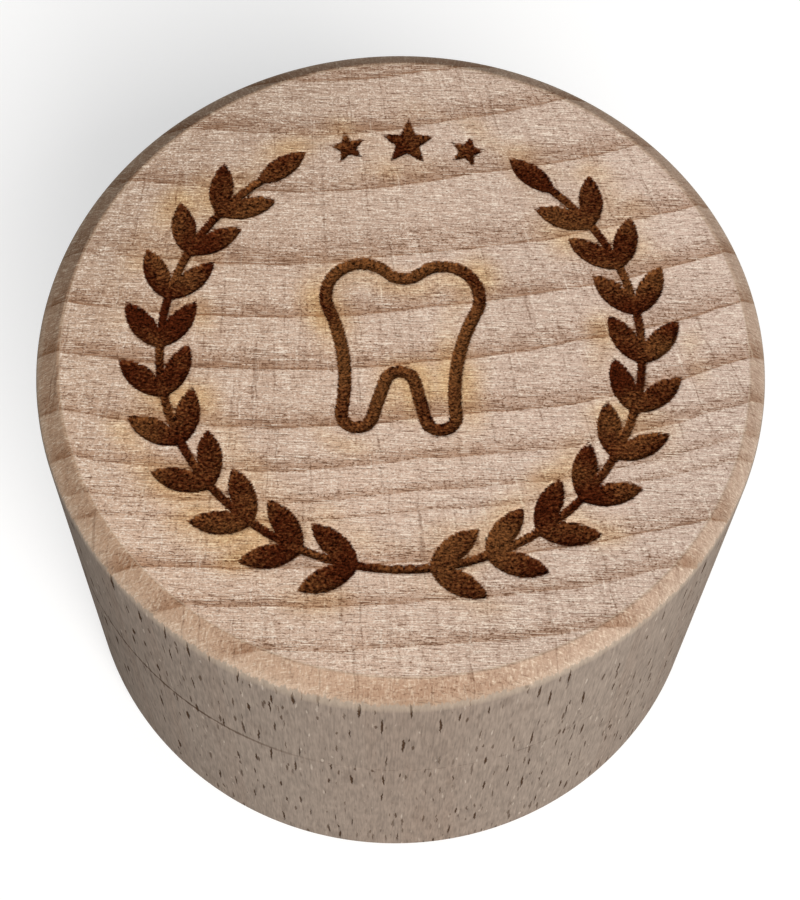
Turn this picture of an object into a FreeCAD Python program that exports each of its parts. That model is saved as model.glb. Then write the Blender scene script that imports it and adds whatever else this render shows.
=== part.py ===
import FreeCAD, Part
import math
import os

import Sketcher
from FreeCAD import Placement, Rotation, Vector

# A round wooden box for milk teeth, turned in two pieces: a cup-shaped base and a push-on lid.
# Millimetres. The origin is the centre of the foot, +Z is the turning axis, and -Y is the front,
# the side from which the motif on the lid stands upright.

doc = FreeCAD.newDocument("tooth_box")

# Driving dimensions
DIMENSIONS = (
    ("outer_diameter", 50.0, "both pieces, turned together"),
    ("base_height", 20.4, "foot to shoulder, where the seam shows"),
    ("floor_thickness", 5.0, "wood left under the chamber"),
    ("foot_chamfer", 0.4, "broken edge at the foot"),
    ("seam_chamfer", 0.15, "broken edges that meet at the seam"),
    ("spigot_wall", 3.0, "wall between the chamber and the lid's recess"),
    ("spigot_lead", 0.6, "bevel that leads the lid onto the spigot"),
    ("chamber_corner", 2.0, "round at the bottom of the chamber"),
    ("lid_height", 16.3, "seam to the top face"),
    ("lid_wall", 2.9, "wall of the lid round the spigot"),
    ("lid_top", 8.0, "wood left over the recess"),
    ("lid_bevel", 1.4, "bevel round the top face"),
    ("mouth_lead", 0.3, "bevel inside the lid's mouth"),
    ("recess_corner", 1.2, "round at the top of the recess"),
    ("fit_clearance", 0.1, "spigot to recess, on the radius"),
    ("spigot_headroom", 2.3, "spigot end to the top of the recess"),
    ("engraving_depth", 0.3, "burnt-in motif on the lid"),
    ("wreath_inset", 7.2, "rim of the top face to the wreath's stem"),
    ("stem_width", 0.6, "engraved line of the stem"),
    ("leaf_pairs", 10, "leaf pairs on each sprig"),
    ("leaf_start", 8.0, "degrees from the front to the first pair"),
    ("leaf_step", 13.2, "degrees from pair to pair"),
    ("leaf_spread", 34.0, "degrees between a leaf and the stem"),
    ("stem_tuck", 4.0, "degrees of stem inside the leaf at its end"),
    ("leaf_length", 4.3, "tip to tip"),
    ("leaf_width", 1.7, "across the middle"),
    ("star_step", 15.0, "degrees between the stars in the wreath's gap"),
    ("star_radius", 2.0, "middle star, centre to point"),
    ("side_star_radius", 1.35, "outer stars, centre to point"),
    ("star_waist", 0.45, "inner corners of a star over its points"),
    ("tooth_height", 12.6, "cusps to root tips, on the line's middle"),
    ("tooth_line", 0.9, "engraved line of the tooth"),
    ("cusp_radius", 2.5, "round of each cusp"),
    ("cusp_spacing", 5.6, "between the cusps' centres"),
    ("dip_radius", 1.6, "hollow between the cusps"),
    ("flank_radius", 14.0, "hollow of each side"),
    ("root_radius", 1.05, "round of each root tip"),
    ("root_spacing", 5.6, "between the root tips' centres"),
    ("arch_radius", 1.05, "round of the arch between the roots"),
    ("arch_rise", 4.3, "root tips to the top of the arch"),
)

sheet = doc.addObject("Spreadsheet::Sheet", "sizes")
for row, (alias, number, note) in enumerate(DIMENSIONS, start=1):
    sheet.set("A%d" % row, alias)
    sheet.set("B%d" % row, str(number))
    sheet.set("C%d" % row, note)
    sheet.setAlias("B%d" % row, alias)
doc.recompute()

# Levels and diameters that several features share
SPIGOT_HEIGHT = "(sizes.lid_height - sizes.lid_top - sizes.spigot_headroom)"
SPIGOT_END = "(sizes.base_height + %s)" % SPIGOT_HEIGHT
RECESS_DIAMETER = "(sizes.outer_diameter - 2 * sizes.lid_wall)"
SPIGOT_DIAMETER = "(%s - 2 * sizes.fit_clearance)" % RECESS_DIAMETER
CHAMBER_DIAMETER = "(%s - 2 * sizes.spigot_wall)" % SPIGOT_DIAMETER
RECESS_DEPTH = "(sizes.lid_height - sizes.lid_top)"
RECESS_TOP = "(sizes.base_height + %s)" % RECESS_DEPTH
BOX_HEIGHT = "(sizes.base_height + sizes.lid_height)"
WREATH_RADIUS = "(sizes.outer_diameter / 2 - sizes.lid_bevel - sizes.wreath_inset)"
WREATH_REACH = "(sizes.leaf_start + sizes.leaf_step * sizes.leaf_pairs)"
LEAF_BEND = "((sizes.leaf_length ^ 2 + sizes.leaf_width ^ 2) / (4 * sizes.leaf_width))"
STAR_POINTS = 5
SAME_PLACE = 1e-6


def value(expression):
    """The number that an expression on the sheet gives now."""
    return float(sheet.evalExpression(expression))


def origin_feature(body, role):
    """The plane or axis of a body's own origin that plays this role."""
    for feature in body.Origin.OriginFeatures:
        if feature.Role == role:
            return feature
    raise ValueError("no origin feature " + role)


def plane_sketch(body, name, role="XY_Plane", **offsets):
    """An empty sketch on an origin plane, moved and turned by expressions on x, y, z and angle."""
    sketch = body.newObject("Sketcher::SketchObject", name)
    sketch.AttachmentSupport = (origin_feature(body, role), [""])
    sketch.MapMode = "FlatFace"
    sketch.AttachmentOffset = Placement(Vector(), Rotation(Vector(0, 0, 1), 0))
    for axis, expression in offsets.items():
        path = "Rotation.Angle" if axis == "angle" else "Base." + axis
        sketch.setExpression("AttachmentOffset." + path, expression)
    return sketch


def bound_constraint(sketch, kind, geometry, expression):
    """Add a dimension to a sketch and bind it to an expression."""
    index = sketch.addConstraint(Sketcher.Constraint(kind, *geometry, value(expression)))
    sketch.setExpression("Constraints[%d]" % index, expression)


def circle_sketch(body, name, diameter, level):
    """A circle of this diameter about the turning axis, at this level."""
    sketch = plane_sketch(body, name, z=level)
    circle = sketch.addGeometry(Part.Circle(Vector(), Vector(0, 0, 1), value(diameter) / 2))
    sketch.addConstraint(Sketcher.Constraint("Coincident", circle, 3, -1, 1))
    bound_constraint(sketch, "Diameter", (circle,), diameter)
    return sketch


def polygon_sketch(sketch, corners):
    """Join corners, each a pair of expressions, with lines and bind every corner to its pair."""
    points = [Vector(value(across), value(along), 0) for across, along in corners]
    for start, end in zip(points, points[1:] + points[:1]):
        sketch.addGeometry(Part.LineSegment(start, end))
    for line, (across, along) in enumerate(corners):
        sketch.addConstraint(Sketcher.Constraint("Coincident", line, 2, (line + 1) % len(corners), 1))
        bound_constraint(sketch, "DistanceX", (-1, 1, line, 1), across)
        bound_constraint(sketch, "DistanceY", (-1, 1, line, 1), along)


def add_pad(body, name, sketch, length):
    """Raise a sketch by a length."""
    pad = body.newObject("PartDesign::Pad", name)
    pad.Profile = sketch
    pad.setExpression("Length", length)
    doc.recompute()
    return pad


def cut_away(body, feature, name):
    """Recompute a cutting feature and make sure that it removed wood."""
    before = body.Shape.Volume
    doc.recompute()
    if not feature.Shape.Volume < before:
        raise ValueError(name + " cuts nothing")
    return feature


def add_pocket(body, name, sketch, length, upward=False):
    """Cut a sketch into the body by a length, down from its plane or upward."""
    pocket = body.newObject("PartDesign::Pocket", name)
    pocket.Profile = sketch
    pocket.Reversed = upward
    pocket.setExpression("Length", length)
    return cut_away(body, pocket, name)


def dress_edge(body, name, kind, diameter, level, size):
    """Chamfer or fillet the body's round edge of this diameter at this level."""
    base = body.Tip
    edges = []
    for number, edge in enumerate(base.Shape.Edges, start=1):
        if not isinstance(edge.Curve, Part.Circle):
            continue
        same_radius = abs(edge.Curve.Radius - value(diameter) / 2) < SAME_PLACE
        same_level = abs(edge.Curve.Center.z - value(level)) < SAME_PLACE
        if same_radius and same_level:
            edges.append("Edge%d" % number)
    if not edges:
        raise ValueError("no edge for " + name)
    dressing = body.newObject("PartDesign::" + kind, name)
    dressing.Base = (base, edges)
    dressing.setExpression("Radius" if kind == "Fillet" else "Size", size)
    doc.recompute()
    return dressing


def make_base():
    """The cup: a disc with a spigot on its shoulder, bored from above."""
    body = doc.addObject("PartDesign::Body", "base")
    body.Label = "base"
    blank = circle_sketch(body, "base_outline", "sizes.outer_diameter", "0")
    add_pad(body, "base_blank", blank, "sizes.base_height")
    spigot = circle_sketch(body, "spigot_outline", SPIGOT_DIAMETER, "sizes.base_height")
    add_pad(body, "spigot", spigot, SPIGOT_HEIGHT)
    chamber = circle_sketch(body, "chamber_outline", CHAMBER_DIAMETER, SPIGOT_END)
    add_pocket(body, "chamber", chamber, "%s - sizes.floor_thickness" % SPIGOT_END)
    dress_edge(body, "chamber_round", "Fillet", CHAMBER_DIAMETER, "sizes.floor_thickness",
               "sizes.chamber_corner")
    dress_edge(body, "spigot_bevel", "Chamfer", SPIGOT_DIAMETER, SPIGOT_END, "sizes.spigot_lead")
    dress_edge(body, "shoulder_edge", "Chamfer", "sizes.outer_diameter", "sizes.base_height",
               "sizes.seam_chamfer")
    dress_edge(body, "foot_edge", "Chamfer", "sizes.outer_diameter", "0", "sizes.foot_chamfer")
    return body


def make_lid():
    """The cap: a disc recessed from below, bevelled round the top and engraved."""
    body = doc.addObject("PartDesign::Body", "lid")
    body.Label = "lid"
    blank = circle_sketch(body, "lid_outline", "sizes.outer_diameter", "sizes.base_height")
    add_pad(body, "lid_blank", blank, "sizes.lid_height")
    recess = circle_sketch(body, "recess_outline", RECESS_DIAMETER, "sizes.base_height")
    add_pocket(body, "recess", recess, RECESS_DEPTH, upward=True)
    dress_edge(body, "recess_round", "Fillet", RECESS_DIAMETER, RECESS_TOP, "sizes.recess_corner")
    dress_edge(body, "mouth_bevel", "Chamfer", RECESS_DIAMETER, "sizes.base_height", "sizes.mouth_lead")
    dress_edge(body, "rim_edge", "Chamfer", "sizes.outer_diameter", "sizes.base_height", "sizes.seam_chamfer")
    dress_edge(body, "top_bevel", "Chamfer", "sizes.outer_diameter", BOX_HEIGHT, "sizes.lid_bevel")
    engrave_stem(body)
    for side, turn in (("right", 1), ("left", -1)):
        engrave_sprig(body, side, turn)
    for name, size, place in (("left_star", "sizes.side_star_radius", "sizes.star_step"),
                              ("middle_star", "sizes.star_radius", "0"),
                              ("right_star", "sizes.side_star_radius", "-sizes.star_step")):
        engrave_star(body, name, size, place)
    engrave_tooth(body)
    return body


def engrave_stem(body):
    """The wreath's stem: a square groove swept both ways from the front, open at the back."""
    sketch = plane_sketch(body, "stem_section", "YZ_Plane")
    near = "-(%s + sizes.stem_width / 2)" % WREATH_RADIUS
    far = "-(%s - sizes.stem_width / 2)" % WREATH_RADIUS
    bottom = "%s - sizes.engraving_depth" % BOX_HEIGHT
    top = "%s + sizes.engraving_depth" % BOX_HEIGHT
    polygon_sketch(sketch, ((near, bottom), (far, bottom), (far, top), (near, top)))
    groove = body.newObject("PartDesign::Groove", "stem")
    groove.Profile = sketch
    groove.ReferenceAxis = (sketch, ["V_Axis"])
    groove.Midplane = True
    groove.setExpression("Angle", "2 * (%s + sizes.stem_tuck)" % WREATH_REACH)
    cut_away(body, groove, "stem")


def engrave_leaf(body, name, turn, reach, lean):
    """One pointed leaf, two arcs between its tips, growing from the stem at this reach and lean."""
    heading = "(%s + %s)" % (reach, lean)
    sketch = plane_sketch(
        body, name + "_outline",
        x="%d * %s * sin(%s * 1deg)" % (turn, WREATH_RADIUS, reach),
        y="-%s * cos(%s * 1deg)" % (WREATH_RADIUS, reach),
        z=BOX_HEIGHT,
        angle=heading if turn > 0 else "180 - %s" % heading)
    bend = value(LEAF_BEND)
    middle = value("sizes.leaf_length") / 2
    sink = bend - value("sizes.leaf_width") / 2
    opening = math.atan2(sink, middle)
    for side, start in ((-1, opening), (1, math.pi + opening)):
        circle = Part.Circle(Vector(middle, side * sink, 0), Vector(0, 0, 1), bend)
        sketch.addGeometry(Part.ArcOfCircle(circle, start, start + math.pi - 2 * opening))
    sketch.addConstraint(Sketcher.Constraint("Coincident", 0, 2, -1, 1))
    sketch.addConstraint(Sketcher.Constraint("Coincident", 1, 1, -1, 1))
    sketch.addConstraint(Sketcher.Constraint("Coincident", 0, 1, 1, 2))
    sketch.addConstraint(Sketcher.Constraint("PointOnObject", 0, 1, -1))
    bound_constraint(sketch, "DistanceX", (-1, 1, 0, 1), "sizes.leaf_length")
    for arc in (0, 1):
        bound_constraint(sketch, "Radius", (arc,), LEAF_BEND)
    return add_pocket(body, name, sketch, "sizes.engraving_depth")


def engrave_sprig(body, side, turn):
    """One half of the wreath: leaf pairs repeated along the stem and a single leaf at its end."""
    pair = [engrave_leaf(body, "%s_%s_leaf" % (side, place), turn, "sizes.leaf_start", lean)
            for place, lean in (("outer", "-sizes.leaf_spread"), ("inner", "sizes.leaf_spread"))]
    pattern = body.newObject("PartDesign::PolarPattern", side + "_leaves")
    pattern.Originals = pair
    pattern.Axis = (origin_feature(body, "Z_Axis"), [""])
    pattern.Reversed = turn < 0
    pattern.setExpression("Angle", "sizes.leaf_step * (sizes.leaf_pairs - 1)")
    pattern.setExpression("Occurrences", "sizes.leaf_pairs")
    body.Tip = pattern
    doc.recompute()
    engrave_leaf(body, side + "_end_leaf", turn, WREATH_REACH, "0")


def engrave_star(body, name, radius, place):
    """A five-pointed star in the wreath's gap, this many degrees round from the back."""
    sketch = plane_sketch(
        body, name + "_outline",
        x="-%s * sin(%s * 1deg)" % (WREATH_RADIUS, place),
        y="%s * cos(%s * 1deg)" % (WREATH_RADIUS, place),
        z=BOX_HEIGHT,
        angle=place)
    half_turn = 180 / STAR_POINTS
    corners = []
    for corner in range(2 * STAR_POINTS):
        reach = radius if corner % 2 == 0 else "%s * sizes.star_waist" % radius
        corners.append(("%s * cos(%g)" % (reach, 90 + corner * half_turn),
                        "%s * sin(%g)" % (reach, 90 + corner * half_turn)))
    polygon_sketch(sketch, corners)
    add_pocket(body, name, sketch, "sizes.engraving_depth")


def polar_angle(centre, point):
    """The direction from a centre to a point, in radians."""
    return math.atan2(point.y - centre.y, point.x - centre.x)


def tooth_outline(offset):
    """Edges of the tooth's outline, moved outward by an offset.

    The right half runs over five circles, each tangent to the next: the dip between the cusps, a cusp,
    the hollow flank, a root tip and the arch between the roots, with one straight run from tip to arch.
    Round circles grow with the offset and hollow ones shrink, so they stay tangent.
    """
    half_height = value("sizes.tooth_height") / 2
    cusp_radius = value("sizes.cusp_radius")
    dip_radius = value("sizes.dip_radius")
    flank_radius = value("sizes.flank_radius")
    root_radius = value("sizes.root_radius")
    arch_radius = value("sizes.arch_radius")
    cusp = Vector(value("sizes.cusp_spacing") / 2, half_height - cusp_radius, 0)
    root = Vector(value("sizes.root_spacing") / 2, root_radius - half_height, 0)
    arch = Vector(0, value("sizes.arch_rise") - half_height - arch_radius, 0)
    dip = Vector(0, cusp.y + math.sqrt((cusp_radius + dip_radius) ** 2 - cusp.x ** 2), 0)

    # The flank's centre, on the outer side, is as far from the cusp and the root as tangency asks
    span = root - cusp
    to_cusp = cusp_radius + flank_radius
    to_root = root_radius + flank_radius
    along = (to_cusp ** 2 - to_root ** 2 + span.Length ** 2) / (2 * span.Length)
    sideways = math.sqrt(to_cusp ** 2 - along ** 2)
    direction = Vector(span).normalize()
    flank = cusp + direction * along + Vector(-direction.y, direction.x, 0) * sideways

    # The straight run touches the root tip and the arch on opposite sides
    run = arch - root
    lean = polar_angle(root, arch) + math.acos((root_radius + arch_radius) / run.Length)

    arcs = (
        (dip, dip_radius - offset, polar_angle(dip, Vector(0, -half_height, 0)), polar_angle(dip, cusp)),
        (cusp, cusp_radius + offset, polar_angle(cusp, flank), polar_angle(cusp, dip)),
        (flank, flank_radius - offset, polar_angle(flank, cusp), polar_angle(flank, root)),
        (root, root_radius + offset, lean, polar_angle(root, flank)),
        (arch, arch_radius - offset, lean + math.pi, math.pi / 2),
    )
    edges = []
    for mirror in (1, -1):
        for centre, radius, start, end in arcs:
            if mirror < 0:
                centre = Vector(-centre.x, centre.y, 0)
                start, end = math.pi - end, math.pi - start
            end = start + (end - start) % (2 * math.pi)
            edges.append(Part.ArcOfCircle(Part.Circle(centre, Vector(0, 0, 1), radius), start, end))
        tangent = Vector(mirror * math.cos(lean), math.sin(lean), 0)
        edges.append(Part.LineSegment(
            Vector(mirror * root.x, root.y, 0) + tangent * (root_radius + offset),
            Vector(0, arch.y, 0) - tangent * (arch_radius - offset)))
    return edges


def engrave_tooth(body):
    """A plain tooth drawn as one closed line, between its outlines half a line outward and inward."""
    sketch = plane_sketch(body, "tooth_outline", z=BOX_HEIGHT)
    half_line = value("sizes.tooth_line") / 2
    for offset in (half_line, -half_line):
        sketch.addGeometry(tooth_outline(offset))
    add_pocket(body, "tooth", sketch, "sizes.engraving_depth")


pieces = (make_base(), make_lid())
doc.recompute()

for feature in doc.Objects:
    if "Invalid" in feature.State or "Error" in feature.State:
        raise ValueError("%s failed: %s" % (feature.Label, feature.State))
for piece in pieces:
    if piece.Shape.isNull() or not piece.Shape.isValid() or len(piece.Shape.Solids) != 1:
        raise ValueError(piece.Label + " is not one valid solid")

os.makedirs("parts", exist_ok=True)
for piece in pieces:
    piece.Shape.exportStep("parts/%s.step" % piece.Label)
    box = piece.Shape.BoundBox
    print("%s: volume %.1f mm3, z %.2f to %.2f, across %.2f"
          % (piece.Label, piece.Shape.Volume, box.ZMin, box.ZMax, box.XLength))
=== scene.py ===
"""Dress the two turned pieces of a beech tooth box and set them in soft studio light."""
import math

import bpy
import numpy as np
from bpy.props import FloatProperty, FloatVectorProperty, IntProperty, PointerProperty
from bpy.types import Operator, Panel, PropertyGroup
from mathutils import Matrix, Vector


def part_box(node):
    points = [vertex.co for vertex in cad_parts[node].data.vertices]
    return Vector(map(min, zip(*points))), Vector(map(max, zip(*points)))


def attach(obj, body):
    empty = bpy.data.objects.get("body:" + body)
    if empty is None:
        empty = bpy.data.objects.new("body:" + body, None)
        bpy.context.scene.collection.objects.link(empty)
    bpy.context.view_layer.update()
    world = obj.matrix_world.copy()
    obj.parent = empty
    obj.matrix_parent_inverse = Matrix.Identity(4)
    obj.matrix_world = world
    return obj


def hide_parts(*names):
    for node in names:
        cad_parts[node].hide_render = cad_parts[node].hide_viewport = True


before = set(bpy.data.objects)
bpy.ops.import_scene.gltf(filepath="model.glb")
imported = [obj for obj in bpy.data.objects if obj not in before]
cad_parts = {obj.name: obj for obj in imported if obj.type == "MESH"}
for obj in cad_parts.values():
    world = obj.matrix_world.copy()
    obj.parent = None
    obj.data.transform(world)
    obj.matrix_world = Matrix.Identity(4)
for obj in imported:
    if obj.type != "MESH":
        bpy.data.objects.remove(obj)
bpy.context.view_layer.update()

bl_info = {
    "name": "Beech tooth box",
    "version": (1, 0, 0),
    "blender": (4, 5, 0),
    "location": "3D View > Sidebar > Tooth Box",
    "description": "Turned beech box with a push-on engraved lid, on a pale floor",
    "category": "Object",
}

# What the frame gives, in metres
BASE_LOW, BASE_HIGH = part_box("base")
LID_LOW, LID_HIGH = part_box("lid")
RADIUS = (BASE_HIGH[0] - BASE_LOW[0]) / 2
SEAM = LID_LOW[2]
TOP = LID_HIGH[2]
SPIGOT_END = BASE_HIGH[2]

MILLIMETRE = 0.001
WHITE = (1.0, 1.0, 1.0)
# The photograph's height in pixels, and the camera's sensor in mm and nearest sight in metres
PHOTO_HEIGHT = 900
SENSOR = 36.0
NEAREST = 0.01


def quantity(name, default, description, **more):
    """A number that a user can change."""
    return FloatProperty(name=name, description=description, default=default, **more)


def length(name, default, description):
    """A size in metres that a user can change."""
    return quantity(name, default, description, unit="LENGTH", precision=5)


def angle(name, degrees, description):
    """An angle that a user can change."""
    return quantity(name, math.radians(degrees), description, unit="ROTATION")


def aim(name, default, description):
    """A direction that a user can change."""
    return FloatVectorProperty(name=name, description=description, default=default, subtype="DIRECTION")


def colour(name, default, description):
    """A linear colour that a user can change."""
    return FloatVectorProperty(name=name, description=description, default=default, subtype="COLOR",
                               size=3, min=0.0, max=1.0)


class TurningSettings(PropertyGroup):
    """Sizes of the two turned pieces that their boxes in the frame don't give."""

    lid_wall: length("Lid wall", 0.0029, "Wall of the lid round the spigot")
    lid_top: length("Lid top", 0.0080, "Wood left over the lid's recess")
    fit_clearance: length("Fit clearance", 0.0001, "Spigot to recess, on the radius")
    spigot_wall: length("Spigot wall", 0.0030, "Wall between the chamber and the lid's recess")
    spigot_lead: length("Spigot lead", 0.0006, "Bevel that leads the lid onto the spigot")
    mouth_lead: length("Mouth lead", 0.0003, "Bevel inside the lid's mouth")
    floor_thickness: length("Floor", 0.0050, "Wood left under the chamber")
    chamber_corner: length("Chamber corner", 0.0020, "Round at the bottom of the chamber")
    recess_corner: length("Recess corner", 0.0012, "Round at the top of the lid's recess")
    lid_bevel: length("Lid bevel", 0.0014, "Bevel round the top face")
    bevel_drift_x: length("Bevel drift X", 0.00030, "How far the top face sits off the axis, to the right")
    bevel_drift_y: length("Bevel drift Y", -0.00028, "How far the top face sits off the axis, to the back")
    bevel_sag: length("Bevel sag", 0.0010, "How much lower the bevel ends at the front than at the back")
    rim_easing: length("Rim easing", 0.00012, "Worn round of the top face's rim")
    shoulder_easing: length("Bevel easing", 0.00045, "Worn round between the bevel and the wall")
    shoulder_wear: length("Bevel wear", 0.00065, "How much more that round is worn in front")
    foot_easing: length("Foot easing", 0.0004, "Broken edge at the foot")
    edge_easing: length("Edge easing", 0.000015, "Round of the crisp edges at the seam and inside")
    seam_easing: length("Seam easing", 0.00022, "Round of the base's edge where the seam shows most")
    seam_side: angle("Seam side", 218.0, "Where the seam shows most, round from +X")


class MotifSettings(PropertyGroup):
    """The engraved wreath, stars and tooth on the lid."""

    depth: length("Depth", 0.0003, "Depth of the engraving")
    wall: length("Wall", 0.00016, "Slope of the engraving's sides, seen from above")
    wreath_inset: length("Wreath inset", 0.0072, "Rim of the top face to the wreath's stem")
    stem_width: length("Stem width", 0.0006, "Line of the stem")
    stem_tuck: angle("Stem tuck", 4.0, "Stem inside the leaf at its end")
    leaf_pairs: IntProperty(name="Leaf pairs", description="Leaf pairs on each sprig", default=10, min=1)
    leaf_start: angle("Leaf start", 8.0, "From the front to the first pair")
    leaf_step: angle("Leaf step", 13.2, "From pair to pair")
    leaf_spread: angle("Leaf spread", 34.0, "Between a leaf and the stem")
    leaf_length: length("Leaf length", 0.0043, "Leaf, tip to tip")
    leaf_width: length("Leaf width", 0.0017, "Leaf, across the middle")
    star_step: angle("Star step", 15.0, "Between the stars in the wreath's gap")
    star_radius: length("Star", 0.0020, "Middle star, centre to point")
    side_star_radius: length("Side star", 0.00135, "Outer stars, centre to point")
    star_waist: quantity("Star waist", 0.45, "Inner corners of a star over its points", min=0.1, max=1.0,
                         subtype="FACTOR")
    tooth_height: length("Tooth height", 0.0126, "Cusps to root tips, on the line's middle")
    tooth_line: length("Tooth line", 0.0009, "Line of the tooth")
    cusp_radius: length("Cusp", 0.0025, "Round of each cusp")
    cusp_spacing: length("Cusp spacing", 0.0056, "Between the cusps' centres")
    dip_radius: length("Dip", 0.0016, "Hollow between the cusps")
    flank_radius: length("Flank", 0.0140, "Hollow of each side")
    root_radius: length("Root tip", 0.00105, "Round of each root tip")
    root_spacing: length("Root spacing", 0.0056, "Between the root tips' centres")
    arch_radius: length("Arch", 0.00105, "Round of the arch between the roots")
    arch_rise: length("Arch rise", 0.0043, "Root tips to the top of the arch")


class BeechSettings(PropertyGroup):
    """Colours and places of the wood's figure."""

    pith_x: length("Pith X", -0.012, "Centre of the growth rings, to the right of the axis")
    pith_y: length("Pith Y", 0.092, "Centre of the growth rings, behind the axis")
    early: colour("Early wood", (0.628, 0.458, 0.357), "Pale wood at the start of a growth ring")
    late: colour("Late wood", (0.385, 0.224, 0.141), "Brown wood at the end of a growth ring")
    # Cream also paints the glints in the end grain's pale specks
    cream: colour("Cream", (0.930, 0.800, 0.670), "Pale fibres and scratches across the grain")
    umber: colour("Umber", (0.190, 0.100, 0.058), "Dark pores and scratches across the grain")
    # The side grain's colour is darker than the end grain's partly as painted shade of the wall
    side: colour("Side grain", (0.307, 0.248, 0.204), "Wall, cut along the grain")
    ray: colour("Ray", (0.060, 0.030, 0.015), "Dark spindles of the rays on the wall")
    # The bevel tint warms the cut end grain and darkens it, the darkening partly painted shade
    bevel: colour("Bevel", (0.740, 0.690, 0.628), "Tint of the bevel over the top's colour")
    # The edge colour is a pale line along the worn round, partly wear and partly a painted highlight
    edge: colour("Edge", (0.600, 0.480, 0.360), "Worn edge between the bevel and the wall")
    char: colour("Char", (0.050, 0.0095, 0.0028), "Deepest burn of the engraving")
    scorch: colour("Scorch", (0.125, 0.047, 0.0145), "Lightest burn of the engraving")
    halo: colour("Heat tint", (0.965, 0.830, 0.570), "Tint by the heat beside the engraving")


class StageSettings(PropertyGroup):
    """Camera, light and floor."""

    focal_pixels: quantity("Focal length", 2073.0, "Camera's focal length in pixels", subtype="PIXEL")
    distance: length("Distance", 0.1412, "Camera to the middle of the top face")
    elevation: angle("Elevation", 61.91, "Camera above the horizon")
    roll: angle("Roll", 1.89, "Camera's tilt to the side")
    aim_side: angle("Aim side", -0.03, "How far the camera looks past the top face's middle, sideways")
    aim_down: angle("Aim down", 2.89, "How far the camera looks past the top face's middle, downwards")
    key_power: quantity("Key", 84.5, "Power of the key light", unit="POWER")
    key_colour: colour("Key colour", (1.0, 0.975, 0.945), "Tint of the key light")
    light_size: length("Light size", 1.35, "Side of each square light")
    light_distance: length("Light distance", 2.7, "Each light to the box")
    key_direction: aim("Key direction", (0.274, -0.678, 0.682), "Where the key light stands")
    fill_power: quantity("Fill", 10.0, "Power of the low light behind the box", unit="POWER")
    fill_direction: aim("Fill direction", (-0.25, 1.0, 0.22), "Where the fill light stands")
    ambient: quantity("Ambient", 0.21, "Strength of the even light")
    sky_colour: colour("Ambient colour", (0.955, 0.980, 1.0), "Tint of the even light")
    floor_bounce: quantity("Floor bounce", 0.50, "Share of light that the floor returns", subtype="FACTOR")
    floor_glow: quantity("Floor glow", 0.56, "What lifts the floor to white for the camera")


# Mesh helpers

def rounded_profile(corners, steps):
    """Rings of a turned profile whose corners are rounded.

    Each corner is a circle of points and an easing. The sharp corner gives way to a quadratic curve that
    leaves the profile one easing before it and joins it again one easing after. Its steps rings stand
    between two more, a further easing away, which keep the shading of the straight runs even. A corner with
    no easing gives one ring.
    """
    rings = []
    for number, (points, easing) in enumerate(corners):
        if easing is None:
            rings.append(points)
            continue
        before = corners[number - 1][0] - points
        after = corners[number + 1][0] - points
        before *= easing / np.linalg.norm(before, axis=1, keepdims=True)
        after *= easing / np.linalg.norm(after, axis=1, keepdims=True)
        rings.append(points + 2 * before)
        for share in np.linspace(0.0, 1.0, steps):
            rings.append(points + (1 - share) ** 2 * before + share ** 2 * after)
        rings.append(points + 2 * after)
    return rings


def circle(turn, radius, height, centre=(0.0, 0.0)):
    """Points at the angles turn of a level circle."""
    return np.stack((centre[0] + radius * np.cos(turn),
                     centre[1] + radius * np.sin(turn),
                     np.broadcast_to(height, turn.shape)), axis=1)


def ring_faces(first, rings, segments):
    """Quads between rings of vertices, which are numbered on from first."""
    ring = first + segments * np.arange(rings - 1)[:, None]
    here = np.arange(segments)[None, :]
    after = (here + 1) % segments
    return np.stack((ring + here, ring + segments + here, ring + segments + after, ring + after),
                    axis=-1).reshape(-1, 4)


def pole_faces(first, pole, segments):
    """Triangles that close the last ring of vertices, numbered on from first, at a pole."""
    here = first + np.arange(segments)
    return np.stack((here, np.full(segments, pole), np.roll(here, -1)), axis=1)


def concentric_disc(cells):
    """Points of a unit disc on a square grid, and its rim's numbers in turn from -45 degrees.

    Each square round the grid's middle becomes a circle: a point's larger coordinate is its radius, and
    the smaller over the larger, times 45 degrees, is its angle from the nearest axis.
    """
    line = np.linspace(-1.0, 1.0, cells + 1)
    across, along = np.meshgrid(line, line)
    wide = np.abs(across) >= np.abs(along)
    radius = np.where(wide, across, along)
    ratio = np.divide(np.where(wide, along, across), radius, out=np.zeros_like(radius), where=radius != 0)
    near, far = np.cos(ratio * math.pi / 4), np.sin(ratio * math.pi / 4)
    points = np.stack((radius * np.where(wide, near, far), radius * np.where(wide, far, near)), axis=-1)
    number = np.arange((cells + 1) ** 2).reshape(cells + 1, cells + 1)
    rim = np.concatenate((number[:-1, -1], number[-1, :0:-1], number[:0:-1, 0], number[0, :-1]))
    quads = np.stack((number[:-1, :-1], number[:-1, 1:], number[1:, 1:], number[1:, :-1]), axis=-1)
    return points.reshape(-1, 2), rim, quads.reshape(-1, 4)


def make_piece(name, points, quads, triangles, inside, bevel):
    """A mesh object from whole arrays, with its surface marks as a vertex attribute.

    The attribute surface holds, for each point, how far the surface cuts across the grain (the upright part
    of its normal), how far it belongs to the bevel, and whether it lies inside the box.
    """
    mesh = bpy.data.meshes.new(name)
    mesh.from_pydata(points, [], quads.tolist() + triangles.tolist())
    mesh.polygons.foreach_set("use_smooth", np.ones(len(mesh.polygons), dtype=bool))
    mesh.update()
    normals = np.empty(3 * len(points), dtype=np.float32)
    mesh.vertex_normals.foreach_get("vector", normals)
    marks = np.stack((np.abs(normals[2::3]), bevel, inside), axis=1).astype(np.float32)
    mesh.attributes.new("surface", "FLOAT_VECTOR", "POINT").data.foreach_set("vector", marks.ravel())
    piece = bpy.data.objects.new(name, mesh)
    bpy.context.collection.objects.link(piece)
    return piece


# The engraved motif, as distances that are negative inside a line or shape

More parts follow.
